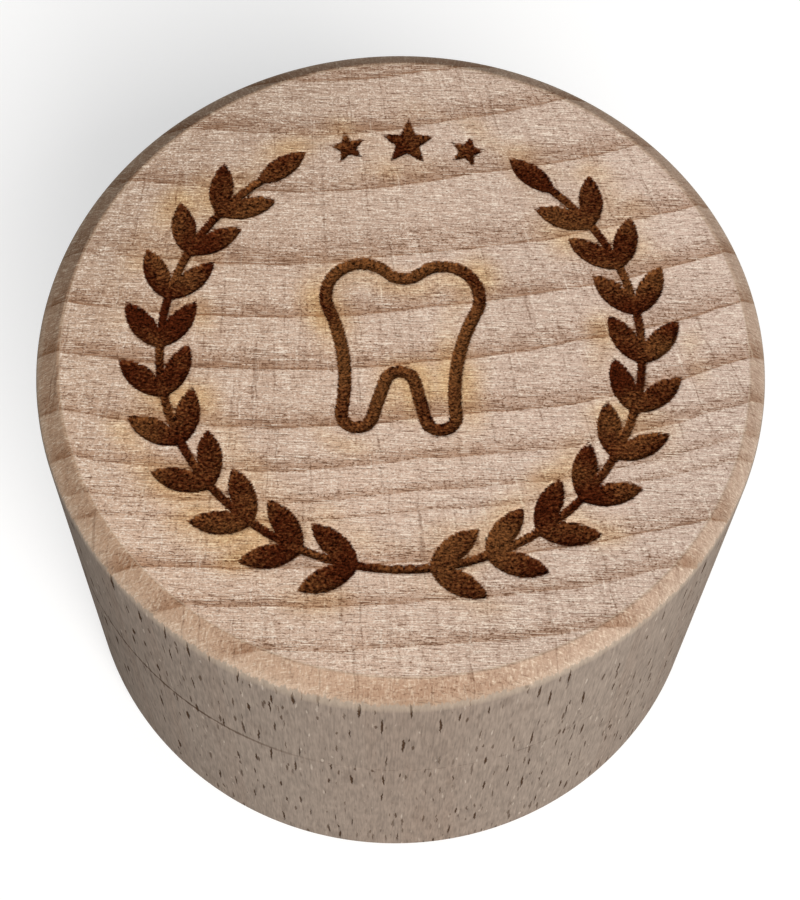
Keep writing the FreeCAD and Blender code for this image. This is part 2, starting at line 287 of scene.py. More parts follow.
def leaf_distance(across, along, leaf, motif):
    """Distance from a leaf, the overlap of two discs, which grows from (x, y) at a heading."""
    base_x, base_y, heading = leaf
    local_x = (across - base_x) * math.cos(heading) + (along - base_y) * math.sin(heading)
    local_y = (along - base_y) * math.cos(heading) - (across - base_x) * math.sin(heading)
    bend = (motif.leaf_length ** 2 + motif.leaf_width ** 2) / (4 * motif.leaf_width)
    sink = bend - motif.leaf_width / 2
    return np.hypot(local_x - motif.leaf_length / 2, np.abs(local_y) + sink) - bend


def star_distance(across, along, star, waist):
    """Distance from a five-pointed star: its points fold onto one half, bounded by one straight edge."""
    centre_x, centre_y, turn, radius = star
    sector = 2 * math.pi / 5
    reach = np.hypot(across - centre_x, along - centre_y)
    bearing = np.arctan2(along - centre_y, across - centre_x) - math.pi / 2 - turn
    folded = np.abs((bearing + sector / 2) % sector - sector / 2)
    return segment_distance(reach * np.cos(folded), reach * np.sin(folded),
                            (radius, 0.0),
                            (radius * waist * math.cos(sector / 2), radius * waist * math.sin(sector / 2)),
                            signed=True)


def segment_distance(across, along, start, end, signed=False):
    """Distance from a straight run, negative on its left when signed."""
    run_x, run_y = end[0] - start[0], end[1] - start[1]
    share = ((across - start[0]) * run_x + (along - start[1]) * run_y) / (run_x ** 2 + run_y ** 2)
    share = np.clip(share, 0.0, 1.0)
    distance = np.hypot(across - start[0] - share * run_x, along - start[1] - share * run_y)
    if not signed:
        return distance
    left = run_x * (along - start[1]) - run_y * (across - start[0]) > 0
    return np.where(left, -distance, distance)


def arc_distance(across, along, arc):
    """Distance from an arc: from its circle beside it, and from its nearer end elsewhere."""
    (centre_x, centre_y), radius, start, end = arc
    sweep = (end - start) % (2 * math.pi)
    bearing = (np.arctan2(along - centre_y, across - centre_x) - start) % (2 * math.pi)
    beside = np.abs(np.hypot(across - centre_x, along - centre_y) - radius)
    ends = [np.hypot(across - centre_x - radius * math.cos(turn), along - centre_y - radius * math.sin(turn))
            for turn in (start, end)]
    return np.where(bearing <= sweep, beside, np.minimum(*ends))


def tooth_distance(across, along, motif):
    """Distance from the tooth's line, folded onto its right half.

    The line runs over five circles, each tangent to the next: the dip between the cusps, a cusp, the hollow
    flank, a root tip and the arch between the roots, with one straight run from tip to arch.
    """
    across = np.abs(across)
    half_height = motif.tooth_height / 2
    cusp = Vector((motif.cusp_spacing / 2, half_height - motif.cusp_radius))
    root = Vector((motif.root_spacing / 2, motif.root_radius - half_height))
    arch = Vector((0.0, motif.arch_rise - half_height - motif.arch_radius))
    dip_rise = math.sqrt((motif.cusp_radius + motif.dip_radius) ** 2 - cusp.x ** 2)
    dip = Vector((0.0, cusp.y + dip_rise))
    span = root - cusp
    to_cusp = motif.cusp_radius + motif.flank_radius
    to_root = motif.root_radius + motif.flank_radius
    down = (to_cusp ** 2 - to_root ** 2 + span.length_squared) / (2 * span.length)
    outward = Vector((-span.y, span.x)).normalized() * math.sqrt(to_cusp ** 2 - down ** 2)
    flank = cusp + span.normalized() * down + outward
    lean = bearing(root, arch) + math.acos((motif.root_radius + motif.arch_radius) / (arch - root).length)
    tangent = Vector((math.cos(lean), math.sin(lean)))
    arcs = (
        (dip, motif.dip_radius, -math.pi / 2, bearing(dip, cusp)),
        (cusp, motif.cusp_radius, bearing(cusp, flank), bearing(cusp, dip)),
        (flank, motif.flank_radius, bearing(flank, cusp), bearing(flank, root)),
        (root, motif.root_radius, lean, bearing(root, flank)),
        (arch, motif.arch_radius, lean + math.pi, math.pi / 2),
    )
    distance = segment_distance(across, along, root + tangent * motif.root_radius,
                                arch - tangent * motif.arch_radius)
    for arc in arcs:
        distance = np.minimum(distance, arc_distance(across, along, arc))
    return distance - motif.tooth_line / 2


def bearing(start, end):
    """The direction from one point to another, in radians."""
    return math.atan2(end[1] - start[1], end[0] - start[0])


def motif_distance(across, along, motif, wreath_radius):
    """Distance from the whole engraving, negative inside it; left and right are alike."""
    right = np.abs(across)
    wreath_reach = motif.leaf_start + motif.leaf_step * motif.leaf_pairs
    stem_end = wreath_reach + motif.stem_tuck
    stem = (Vector((0.0, 0.0)), wreath_radius, -math.pi / 2, stem_end - math.pi / 2)
    distance = arc_distance(right, along, stem) - motif.stem_width / 2

    leaves = [(wreath_reach, 0.0)]
    for pair in range(motif.leaf_pairs):
        reach = motif.leaf_start + pair * motif.leaf_step
        leaves += [(reach, -motif.leaf_spread), (reach, motif.leaf_spread)]
    for reach, lean in leaves:
        leaf = (wreath_radius * math.sin(reach), -wreath_radius * math.cos(reach), reach + lean)
        distance = np.minimum(distance, leaf_distance(right, along, leaf, motif))

    for turn, radius in ((0.0, motif.star_radius), (-motif.star_step, motif.side_star_radius)):
        star = (-wreath_radius * math.sin(turn), wreath_radius * math.cos(turn), turn, radius)
        distance = np.minimum(distance, star_distance(right, along, star, motif.star_waist))
    return np.minimum(distance, tooth_distance(across, along, motif))


# The two turned pieces

# Cells across the top's disc grid, points round a ring, and rings over a rounded corner
DISC_CELLS = 236
SEGMENTS = 4 * DISC_CELLS
CORNER_STEPS = 5
# Rings on a flat face round its pole, as shares of its radius
FLAT_RINGS = (0.02, 0.5)
# Rounds of the spigot's inner rim and of its lead's edges, in rounds of a crisp edge
SPIGOT_RIM = 8
SPIGOT_EDGE = 4
# Step over which the slope of the engraving's distance is taken, as a share of a grid cell
SLOPE_STEP = 0.125
# Most of the bevel's width that its worn round may take
EASED_SHARE = 0.4
# Powers by which the bevel's sag and its wear fade from the front to the sides
SAG_FADE = 4
WEAR_FADE = 2


def turning_angles():
    """The angles of the vertices round the axis, in step with the top disc's rim."""
    return -math.pi / 4 + 2 * math.pi * np.arange(SEGMENTS) / SEGMENTS


def seam_easing(turn, turning):
    """Round of the base's edge under the lid: most on one side, fading round the box."""
    facing = np.clip(np.cos(turn - turning.seam_side), 0.0, 1.0)
    return (turning.edge_easing + turning.seam_easing * facing ** 2)[:, None]


def flat_rings(turn, radius, height):
    """Rings on a flat face, from near its pole outwards."""
    return tuple((circle(turn, radius * share, height), None) for share in FLAT_RINGS)


def build_base(turning):
    """The cup, as rings from the chamber's floor over the spigot and the shoulder down to the foot."""
    turn = turning_angles()
    spigot = RADIUS - turning.lid_wall - turning.fit_clearance
    chamber = spigot - turning.spigot_wall
    floor = turning.floor_thickness
    small = turning.edge_easing
    profile = (
        *flat_rings(turn, chamber, floor),
        (circle(turn, chamber, floor), turning.chamber_corner),
        (circle(turn, chamber, SPIGOT_END), SPIGOT_RIM * small),
        (circle(turn, spigot - turning.spigot_lead, SPIGOT_END), SPIGOT_EDGE * small),
        (circle(turn, spigot, SPIGOT_END - turning.spigot_lead), SPIGOT_EDGE * small),
        (circle(turn, spigot, SEAM), small),
        (circle(turn, RADIUS, SEAM), seam_easing(turn, turning)),
        (circle(turn, RADIUS, 0.0), turning.foot_easing),
        *reversed(flat_rings(turn, RADIUS, 0.0)),
    )
    rings = rounded_profile(profile, CORNER_STEPS)
    points = np.concatenate(rings + [np.array(((0.0, 0.0, floor), (0.0, 0.0, 0.0)))])
    floor_pole, foot_pole = len(points) - 2, len(points) - 1
    # The floor's triangles are turned over, because the rings lead away from its pole
    triangles = np.concatenate((
        pole_faces(0, floor_pole, SEGMENTS)[:, ::-1],
        pole_faces(SEGMENTS * (len(rings) - 1), foot_pole, SEGMENTS)))
    reach = np.hypot(points[:, 0], points[:, 1])
    inside = (reach < spigot + small) & (points[:, 2] > small)
    return make_piece("base_cup", points, ring_faces(0, len(rings), SEGMENTS), triangles,
                      inside, np.zeros(len(points)))


def engrave(points, motif, wreath_radius, cell):
    """Sink the engraving into the top's points and return each point's distance from it.

    A point less than half a cell from the engraving's edge is drawn onto that edge along the slope of the
    distance, so the mesh follows the outline. Inside, the surface falls away over the wall's width.
    """
    step = cell * SLOPE_STEP
    x, y = points[:, 0], points[:, 1]
    distance = motif_distance(x, y, motif, wreath_radius)
    slope_x = (motif_distance(x + step, y, motif, wreath_radius) - distance) / step
    slope_y = (motif_distance(x, y + step, motif, wreath_radius) - distance) / step
    pull = np.where(np.abs(distance) < cell / 2, distance, 0.0)
    points[:, 0] -= pull * slope_x
    points[:, 1] -= pull * slope_y
    distance = motif_distance(points[:, 0], points[:, 1], motif, wreath_radius)
    share = np.clip(-distance / motif.wall, 0.0, 1.0)
    points[:, 2] -= motif.depth * share * share * (3 - 2 * share)
    return distance


def bevel_foot(turn, turning):
    """Where the bevel meets the wall, the height and the worn round.

    The bevel drops less where the drift narrows it sideways and most in front, where its round is softest.
    """
    sideways, back = np.cos(turn), np.sin(turn)
    facing = np.clip(-back, 0.0, 1.0)
    drop = turning.lid_bevel - turning.bevel_drift_x * sideways + turning.bevel_sag * facing ** SAG_FADE
    width = turning.lid_bevel - turning.bevel_drift_x * sideways - turning.bevel_drift_y * back
    easing = turning.shoulder_easing + turning.shoulder_wear * facing ** WEAR_FADE
    return TOP - drop, np.minimum(easing, EASED_SHARE * np.hypot(width, drop))


def build_lid(turning, motif):
    """The cap, as a disc grid for the engraved top and rings from its rim down the wall into the recess."""
    turn = turning_angles()
    recess = RADIUS - turning.lid_wall
    ceiling = TOP - turning.lid_top
    face = RADIUS - turning.lid_bevel
    drift = (turning.bevel_drift_x, turning.bevel_drift_y)
    small = turning.edge_easing
    shoulder, shoulder_easing = bevel_foot(turn, turning)

    disc, rim, quads = concentric_disc(DISC_CELLS)
    disc_radius = face - 2 * turning.rim_easing
    top = np.column_stack((drift[0] + disc_radius * disc[:, 0], drift[1] + disc_radius * disc[:, 1],
                           np.full(len(disc), TOP)))
    profile = (
        (top[rim], None),
        (circle(turn, face, TOP, drift), turning.rim_easing),
        (circle(turn, RADIUS, shoulder), shoulder_easing[:, None]),
        (circle(turn, RADIUS, SEAM), small),
        (circle(turn, recess + turning.mouth_lead, SEAM), small),
        (circle(turn, recess, SEAM + turning.mouth_lead), small),
        (circle(turn, recess, ceiling), turning.recess_corner),
        *reversed(flat_rings(turn, recess, ceiling)),
    )
    cell = 2 * disc_radius / DISC_CELLS
    distance = engrave(top, motif, face - motif.wreath_inset, cell)

    # The disc's own rim stands for the first two rings
    rings = rounded_profile(profile, CORNER_STEPS)[2:]
    points = np.concatenate([top] + rings + [np.array(((0.0, 0.0, ceiling),))])
    first = len(top)
    here = first + np.arange(SEGMENTS)
    joint = np.stack((rim, here, np.roll(here, -1), np.roll(rim, -1)), axis=1)
    quads = np.concatenate((quads, joint, ring_faces(first, len(rings), SEGMENTS)))
    triangles = pole_faces(first + SEGMENTS * (len(rings) - 1), len(points) - 1, SEGMENTS)

    reach = np.hypot(points[:, 0], points[:, 1])
    inside = (reach < recess + turning.mouth_lead) & (points[:, 2] < ceiling + small)
    level, easing = bevel_foot(np.arctan2(points[:, 1], points[:, 0]), turning)
    bevel = np.clip(0.5 - (level - points[:, 2]) / (2 * easing), 0.0, 1.0)
    bevel[:first] = 0.0
    piece = make_piece("lid_cap", points, quads, triangles, inside, bevel)
    spare = np.full(len(points) - first, distance.max())
    engraving = np.concatenate((distance, spare)).astype(np.float32) / MILLIMETRE
    piece.data.attributes.new("engraving", "FLOAT", "POINT").data.foreach_set("value", engraving)
    return piece


# Shader maths

def math_operator(operation, reflected=False):
    """A method of Signal that adds a Math node for an operator, or for its reflected form."""
    def operate(self, other):
        operands = (other, self) if reflected else (self, other)
        return self.math(operation, *operands)
    return operate


class Signal:
    """One output socket of a node; arithmetic on signals adds Math nodes to their tree."""

    def __init__(self, tree, socket=None):
        self.tree = tree
        self.socket = socket

    def add(self, kind, settings=None, inputs=None, output=0):
        """Add a node of this kind to the tree, set it up, feed its sockets and return one of its outputs."""
        node = self.tree.nodes.new("ShaderNode" + kind)
        for name, setting in (settings or {}).items():
            if name == "stops":
                set_stops(node.color_ramp, setting)
            else:
                setattr(node, name, setting)
        for name, source in (inputs or {}).items():
            if isinstance(source, Signal):
                self.tree.links.new(source.socket, node.inputs[name])
            else:
                node.inputs[name].default_value = source
        return Signal(self.tree, node.outputs[output])

    def output(self, name):
        """Another output of the same node."""
        return Signal(self.tree, self.socket.node.outputs[name])

    def math(self, operation, *operands):
        """A Math node on these operands."""
        return self.add("Math", {"operation": operation}, dict(enumerate(operands)))

    __add__ = math_operator("ADD")
    __radd__ = math_operator("ADD", reflected=True)
    __sub__ = math_operator("SUBTRACT")
    __rsub__ = math_operator("SUBTRACT", reflected=True)
    __mul__ = math_operator("MULTIPLY")
    __rmul__ = math_operator("MULTIPLY", reflected=True)
    __truediv__ = math_operator("DIVIDE")
    __rtruediv__ = math_operator("DIVIDE", reflected=True)
    __pow__ = math_operator("POWER")

    def __abs__(self):
        return self.math("ABSOLUTE", self)


def set_stops(ramp, stops):
    """Give a colour ramp these stops, each a place from 0 to 1 and a colour."""
    for _ in range(len(stops) - len(ramp.elements)):
        ramp.elements.new(1.0)
    for element, (place, tint) in zip(ramp.elements, stops):
        element.position = place
        element.color = tint


def smooth(value, low, high):
    """0 below low and 1 above high, or the other way round, with a soft step between."""
    return value.add("MapRange", {"interpolation_type": "SMOOTHSTEP"},
                     {"Value": value, "From Min": low, "From Max": high}, "Result")


# Numbers of the Mix node's sockets for colours
MIX_FIRST = 6
MIX_SECOND = 7
MIX_RESULT = 2


def blend(share, first, second, kind="MIX"):
    """A colour that goes from the first to the second, or to what kind makes of both, with the share."""
    inputs = {0: share, MIX_FIRST: opaque(first), MIX_SECOND: opaque(second)}
    return share.add("Mix", {"data_type": "RGBA", "blend_type": kind}, inputs, MIX_RESULT)


def multiply(share, tint, filter_tint):
    """A colour seen through a filter, by this share."""
    return blend(share, tint, filter_tint, "MULTIPLY")


def opaque(tint):
    """A colour setting with its alpha, or a colour signal as it is."""
    return tint if isinstance(tint, Signal) else (*tint, 1.0)


def brighten(tint, amount):
    """A colour times a number."""
    return tint.add("VectorMath", {"operation": "SCALE"}, {0: tint, "Scale": amount}, "Vector")


def stretch(place, size, shift):
    """A place counted in cells of this size along each axis, shifted by so many cells."""
    return place.add("Mapping", {}, {"Vector": place, "Location": shift,
                                     "Scale": tuple(1.0 / side for side in size)}, "Vector")


def noise(place, size, shift, detail=1.0):
    """Soft noise about 0, from -0.5 to 0.5, with lumps of this size."""
    inputs = {"Vector": stretch(place, size, shift), "Scale": 1.0, "Detail": detail}
    return place.add("TexNoise", {"noise_dimensions": "3D"}, inputs, "Fac") - 0.5


def separate(vector):
    """The three numbers of a vector."""
    x = vector.add("SeparateXYZ", {}, {0: vector}, "X")
    return x, x.output("Y"), x.output("Z")


def combine(x, y, z):
    """A vector of three numbers."""
    return x.add("CombineXYZ", {}, {"X": x, "Y": y, "Z": z}, "Vector")


# Beech

# Width in mm of each growth ring from the back of the box to its front, and how dark its late wood is
GROWTH_RINGS = ((5.6, 0.80), (4.6, 0.95), (4.9, 0.90), (6.0, 0.85), (4.2, 0.90), (4.1, 0.95), (4.4, 1.00),
                (3.1, 0.90), (2.3, 0.80), (1.4, 0.80), (3.4, 0.85), (2.8, 0.90), (2.9, 1.00), (2.9, 0.90))
# From the pith to the first of them, and to the ring along which lengths are true, in mm
FIRST_RING = 65.0
TRUE_RING = 97.0
# Over how many mm the colour falls back from a ring's end to the next one's start
RING_END = 0.02

# Layers of noise: the size of a lump in mm, across the box, from front to back and up, a shift of the
# pattern in lumps and, where it is more than the usual, its detail
LAYERS = {
    "sway": ((17, 17, 80), (3.1, 0.4, 0)),
    "wave": ((3.4, 3.4, 30), (0, 0, 0)),
    "ripple": ((0.8, 0.8, 8), (0, 0, 0)),
    "fray": ((2.4, 0.14, 8), (0, 0, 0)),
    "ring_patch": ((7, 2, 20), (1, 0, 0)),
    "ring_break": ((1.1, 0.16, 9), (2, 6, 0)),
    "wiggle": ((1.3, 1.3, 6), (5, 0, 0)),
    "crook": ((0.5, 0.5, 0.45), (0, 0, 0)),
    "ray_break": ((1.2, 0.9, 30), (0, 0, 3)),
    "ray_line": ((0.2, 5, 1.2), (0, 3, 0)),
    "ray_thread": ((0.24, 11, 60), (1, 2, 0)),
    "streak": ((1.8, 0.085, 6), (0, 0.3, 0)),
    "band": ((9, 0.24, 11), (2, 0, 0)),
    "pore": ((0.55, 0.08, 1.5), (0, 2, 5)),
    "grit": ((0.13, 0.11, 1.2), (0, 4, 0)),
    "lump": ((0.4, 0.3, 1.6), (0, 7, 0)),
    "fibre": ((0.13, 0.13, 2.2), (1, 0, 0)),
    "cloud": ((9, 9, 14), (0, 9, 0)),
    "blotch": ((1.2, 1.2, 2.8), (4, 0, 2)),
    "stroke": ((0.15, 0.15, 0.8), (3, 0, 0)),
    "tool_mark": ((0.3, 1, 0.3), (0, 0, 0)),
    "burn_edge": ((0.4, 0.11, 4), (0, 0, 7), 2.0),
    "flicker": ((0.24, 0.17, 2), (8, 0, 0)),
    "burn_power": ((4, 4, 20), (6, 1, 0)),
    "heat": ((7, 5, 30), (0, 5, 1)),
}

# Sums of layers, with the share of each: swings of rings and rays in mm, the torn edge of the end grain,
# changes of tone, and heights in mm
RING_SWING = {"sway": 1.5, "wave": 0.4, "ripple": 0.1, "fray": 0.06}
THREAD_SWING = {"wiggle": 0.4}
SPINDLE_SWING = {"wiggle": 0.4, "crook": 0.14}
TORN_EDGE = {"fibre": 0.5, "lump": 0.5}
END_TONE = {"cloud": 0.2, "lump": 0.2}
SIDE_TONE = {"fibre": 0.58, "cloud": 0.16, "lump": 0.4, "grit": 0.46}
BURN_TONE = {"burn_power": 1.2, "flicker": 0.8}
MOTTLE_TONE = {"flicker": 2.4, "grit": 3.2}
SANDED_HEIGHT = {"streak": 0.03, "band": 0.03}
END_HEIGHT = {"grit": 0.03}
SIDE_HEIGHT = {"fibre": 0.012}

# Marks in the low or the high places of a layer: how far from nought its noise is where a mark starts and
# where it is full, and how strong it is then
PALE_MARKS = {
    "streak": (0.08, 0.22, 0.65),
    "band": (0.06, 0.22, 0.07),
    "grit": (0.06, 0.22, 0.75),
    "pore": (0.11, 0.22, 0.70),
    "ray_line": (0.06, 0.22, 0.14),
    "stroke": (0.06, 0.22, 0.36),
}
DARK_MARKS = {
    "streak": (0.10, 0.22, 0.45),
    "band": (0.06, 0.22, 0.10),
    "grit": (0.06, 0.22, 0.48),
    "pore": (0.10, 0.19, 0.48),
    "ray_line": (0.06, 0.22, 0.14),
    "ray_thread": (0.12, 0.24, 0.38),
    "stroke": (0.06, 0.22, 0.22),
    "blotch": (0.10, 0.30, 0.20),
}

# Late wood: how much of it there is through the ring, in its swell and in its last line, the spans of the
# ring that these two take, and how far noise changes them
LATE_RISE = 0.12
LATE_SWELL = 0.66
SWELL_SPAN = (0.5, 0.95)
SWELL_PATCH = 1.5
LATE_LINE = 0.6
LINE_SPAN = (0.94, 0.985)
LINE_BREAK = 1.3

# Layers of ray spindles: a cell's size in mm, along the ring, towards the pith and up, the half size of the
# spindle in it, a shift of the pattern in cells and, kind by kind, the random numbers of spindles that don't
# show and of those that show in full
LONG_RAY = ((1.5, 16, 3.8), (0.105, 9, 1.30), (0.3, 0, 0), ((0.05, 0.45),))
SHORT_RAY = ((1, 13, 2.5), (0.085, 7.5, 0.85), (4.6, 5, 2), ((0.1, 0.7),))
FLECK = ((0.6, 2.6, 1.7), (0.080, 1.2, 0.62), (7.7, 2, 1), ((0.70, 1.0), (0.45, 0.0)))
# Spread of their widths and heights, and their soft edge
SPINDLE_WIDTHS = (0.6, 1.4)
SPINDLE_HEIGHTS = (0.5, 1.5)
SPINDLE_EDGE = (1.0, 0.45)


def growth_rings(from_pith):
    """How far through its growth ring a place lies, 0 to 1, and how dark that ring's late wood is."""
    span = sum(width for width, dark in GROWTH_RINGS)
    step = RING_END / span
    stops = []
    place = 0.0
    for width, dark in GROWTH_RINGS:
        stops.append((place / span + step, (0.0, dark, 0.0, 1.0)))
        place += width
        stops.append((place / span, (1.0, dark, 0.0, 1.0)))
    ramp = from_pith.add("ValToRGB", {"stops": stops}, {0: (from_pith - FIRST_RING) / span}, "Color")
    return separate(ramp)[:2]


def spread(chance, least, most):
    """A random number from 0 to 1, spread between two others."""
    return least + (most - least) * chance


def ray_spindles(ray_place, cell, half_size, shift, chances):
    """Spindles of the rays, thin across, long towards the pith and pointed up and down, kind by kind.

    Each cell of a Voronoi pattern holds one. A point is in it while its offset across, over the half width,
    plus the squares of its offsets inward and upward over theirs, stays under 1. A random number for each
    spindle says how far it shows as each kind.
    """
    cells = stretch(ray_place, cell, shift)
    nearest = cells.add("TexVoronoi", {"voronoi_dimensions": "3D", "feature": "F1"},
                        {"Vector": cells, "Scale": 1.0}, "Position")
    offset = cells.add("VectorMath", {"operation": "SUBTRACT"}, {0: cells, 1: nearest}, "Vector")
    across, inward, upward = separate(offset)
    chance = separate(nearest.output("Color"))
    width = half_size[0] / cell[0] * spread(chance[1], *SPINDLE_WIDTHS)
    height = half_size[2] / cell[2] * spread(chance[2], *SPINDLE_HEIGHTS)
    depth = half_size[1] / cell[1]
    reach = abs(across) / width + (inward / depth) ** 2.0 + (upward / height) ** 2.0
    spindle = smooth(reach, *SPINDLE_EDGE)
    return [spindle * smooth(chance[0], *span) for span in chances]


# How upright the normal of a level face is, from almost to quite
LEVEL_SPAN = (0.9, 0.99)
# End grain: how upright the bevel counts, how much its strokes tear the edge, and the edge's span
BEVEL_UPRIGHT = 0.8
STROKE_TEAR = 0.8
END_GRAIN_SPAN = (0.6, 0.85)


class Figure:
    """The figure of the wood as signals, worked out in mm for the whole box as one solid block."""

    def __init__(self, tree, beech):
        self.start = Signal(tree)
        self.place = brighten(self.start.add("TexCoord", output="Object"), 1 / MILLIMETRE)
        self.x, self.y, self.z = separate(self.place)
        self.reach = (self.x * self.x + self.y * self.y) ** 0.5
        marks = self.start.add("Attribute", {"attribute_name": "surface"}, output="Vector")
        self.upright, self.bevel, self.inside = separate(marks)
        self.flat = smooth(self.upright, *LEVEL_SPAN)

        sideways = self.x - beech.pith_x / MILLIMETRE
        ahead = beech.pith_y / MILLIMETRE - self.y
        from_pith = (sideways * sideways + ahead * ahead) ** 0.5
        along_ring = sideways.math("ARCTAN2", sideways, ahead) * TRUE_RING
        self.cut = abs((self.x * sideways - self.y * ahead) / (self.reach * from_pith))

        self.layers = {}
        ray_place = combine(along_ring + self.mixed(SPINDLE_SWING), from_pith, self.z)
        girth = RADIUS / MILLIMETRE / self.reach
        # These layers lie along the rings and rays, round the axis, and by the reach and the height alone
        self.layer("ray_line", ray_place)
        self.layer("ray_thread", combine(along_ring + self.mixed(THREAD_SWING), from_pith, self.z))
        self.layer("stroke", combine(self.x * girth, self.y * girth, self.z))
        self.layer("tool_mark", combine(self.reach, 0.0, self.z))
        self.late = self.late_wood(from_pith)
        [self.long_ray] = ray_spindles(ray_place, *LONG_RAY)
        [self.short_ray] = ray_spindles(ray_place, *SHORT_RAY)
        self.pale_fleck, self.dim_fleck = ray_spindles(ray_place, *FLECK)

    def layer(self, name, place=None):
        """A layer of noise, made when it is first asked for, over a place of its own or else the box's."""
        if name not in self.layers:
            self.layers[name] = noise(place or self.place, *LAYERS[name])
        return self.layers[name]

    def mixed(self, shares):
        """A sum of layers, each times its share."""
        terms = [self.layer(name) * share for name, share in shares.items()]
        return sum(terms[1:], terms[0])

    def pale(self, name):
        """The pale marks of a layer, in its low places."""
        start, full, strength = PALE_MARKS[name]
        return smooth(self.layer(name), -start, -full) * strength

    def dark(self, name):
        """The dark marks of a layer, in its high places."""
        start, full, strength = DARK_MARKS[name]
        return smooth(self.layer(name), start, full) * strength

    def late_wood(self, from_pith):
        """How much late wood there is: it grows through each ring and ends in a broken brown line."""
        through, dark = growth_rings(from_pith + self.mixed(RING_SWING))
        patch = 1.0 + self.layer("ring_patch") * SWELL_PATCH
        swell = patch * (LATE_SWELL * smooth(through, *SWELL_SPAN) + LATE_RISE * through)
        line = smooth(through, *LINE_SPAN) * (LATE_LINE + self.layer("ring_break") * LINE_BREAK)
        return dark * (swell + line)

    def end_grain(self):
        """Where the surface cuts across the grain: the top, the floors, the bevel down to a torn edge."""
        torn = self.mixed(TORN_EDGE) + self.layer("stroke") * self.bevel * STROKE_TEAR
        return smooth(self.upright + BEVEL_UPRIGHT * self.bevel + torn, *END_GRAIN_SPAN)


# Tone in the end grain's middle, the painted light that each mm to the right and to the front adds,
# how much it twists with both, and what the reach takes, squared
BOARD_TONE = 1.03
PAINTED_LIGHT_RIGHT = 0.0027
PAINTED_LIGHT_FRONT = 0.003
TONE_TWIST = 0.0003
TONE_REACH = 0.00015


def tone_and_painted_light(figure):
    """Slow change of tone over the end grain: painted light, brighter to the front and to the right where
    the key light falls, and darker to the rim.
    """
    tone = BOARD_TONE + figure.x * PAINTED_LIGHT_RIGHT - figure.y * PAINTED_LIGHT_FRONT
    return tone + figure.x * figure.y * TONE_TWIST - figure.reach ** 2.0 * TONE_REACH


# What each mm to the right adds to the green and the blue of the end grain
GREEN_RIGHT = 0.0018
BLUE_RIGHT = 0.0046
# How much more dark streaks and specks show in late wood
LATE_STREAK = 1.78
LATE_SPECK = 1.67
# How much less pale grit and dark specks show on the bevel
BEVEL_GRIT = 0.4
BEVEL_SPECK = 0.45
# Late wood over which pale specks fade, and noise over which the rays' threads break off
SPARKLE_SPAN = (1.1, 0.1)
THREAD_SPAN = (-0.2, 0.1)
# Strength of the pale flecks
END_FLECK = 0.4


def end_grain_colour(figure, beech):
    """Growth rings under pores, the sander's streaks and pale and dark rays."""
    late, bevel = figure.late, figure.bevel
    # The tone carries painted light: brighter to the right and to the front
    tone = tone_and_painted_light(figure) + figure.mixed(END_TONE)
    light_and_warmth = combine(tone, tone * (1.0 + figure.x * GREEN_RIGHT), tone * (1.0 + figure.x * BLUE_RIGHT))
    tint = blend(late, beech.early, beech.late)
    tint = tint.add("VectorMath", {"operation": "MULTIPLY"}, {0: tint, 1: light_and_warmth}, "Vector")
    # Pale specks of grit and pores, partly pale fibres and partly painted glints
    specks_and_glints = figure.pale("grit") * (1 - BEVEL_GRIT * bevel) + figure.pale("pore")
    sanded = figure.pale("streak") + figure.pale("band")
    pale = (figure.flat * sanded + specks_and_glints * smooth(late, *SPARKLE_SPAN)
            + figure.pale_fleck * END_FLECK + figure.pale("ray_line") + figure.pale("stroke") * bevel)
    streaks = figure.dark("streak") * (1 + LATE_STREAK * late) + figure.dark("band")
    specks = (figure.dark("grit") + figure.dark("pore")) * (1 + LATE_SPECK * late)
    threads = figure.dark("ray_thread") * smooth(figure.layer("ray_break"), *THREAD_SPAN)
    dark = (figure.flat * streaks + specks * (1 - BEVEL_SPECK * bevel) + threads
            + figure.dark("ray_line") + figure.dark("stroke") * bevel)
    tint = blend(pale, tint, beech.cream)
    # The bevel's tint, its darkening partly painted shade
    return multiply(bevel, blend(dark, tint, beech.umber), beech.bevel)


# Strength of late wood, flecks, spindles and the seam's painted shadow on the wall
SIDE_LATE = 0.12
DIM_FLECK = 0.3
SIDE_FLECK = 0.3
LONG_SPINDLE = 0.95
SHORT_SPINDLE = 0.72
SEAM_SHADOW = 0.8
# How squarely the wall cuts the rays where they show least and where they show in full, and that least
CUT_SPAN = (0.15, 0.5)
LEAST_SHOWN = 0.2


def side_grain_colour(figure, beech, turning):
    """Fine fibres, dark spindles, pale flecks, soft blotches and the seam's painted shadow, a dark hairline.
    """
    # Wall colour, darker than the end grain partly as painted shade
    tint = blend(figure.late * SIDE_LATE, beech.side, beech.umber)
    tint = brighten(tint, 1.0 + figure.mixed(SIDE_TONE))
    tint = blend(figure.dark("blotch") + figure.dim_fleck * DIM_FLECK, tint, beech.ray)
    shown = LEAST_SHOWN + (1 - LEAST_SHOWN) * smooth(figure.cut, *CUT_SPAN)
    tint = blend(figure.pale_fleck * shown * SIDE_FLECK, tint, beech.cream)
    spindles = shown.math("MAXIMUM", figure.long_ray * LONG_SPINDLE, figure.short_ray * SHORT_SPINDLE)
    tint = blend(spindles * shown, tint, beech.ray)
    # Painted shadow along the seam, in the rays' dark colour
    return blend(painted_seam_shadow(figure, turning) * SEAM_SHADOW, tint, beech.ray)


# The seam's painted shadow: how far it wavers in mm, the mm from it over which the hairline and the open
# seam are painted dark, the hairline's strength, and how squarely a place faces the open side where the
# seam starts to open and is open
SEAM_WAVER = 0.4
HAIRLINE_SPAN = (0.08, 0.03)
OPEN_SPAN = (0.34, 0.10)
HAIRLINE_SHADOW = 0.4
OPEN_SIDE = (0.70, 0.96)


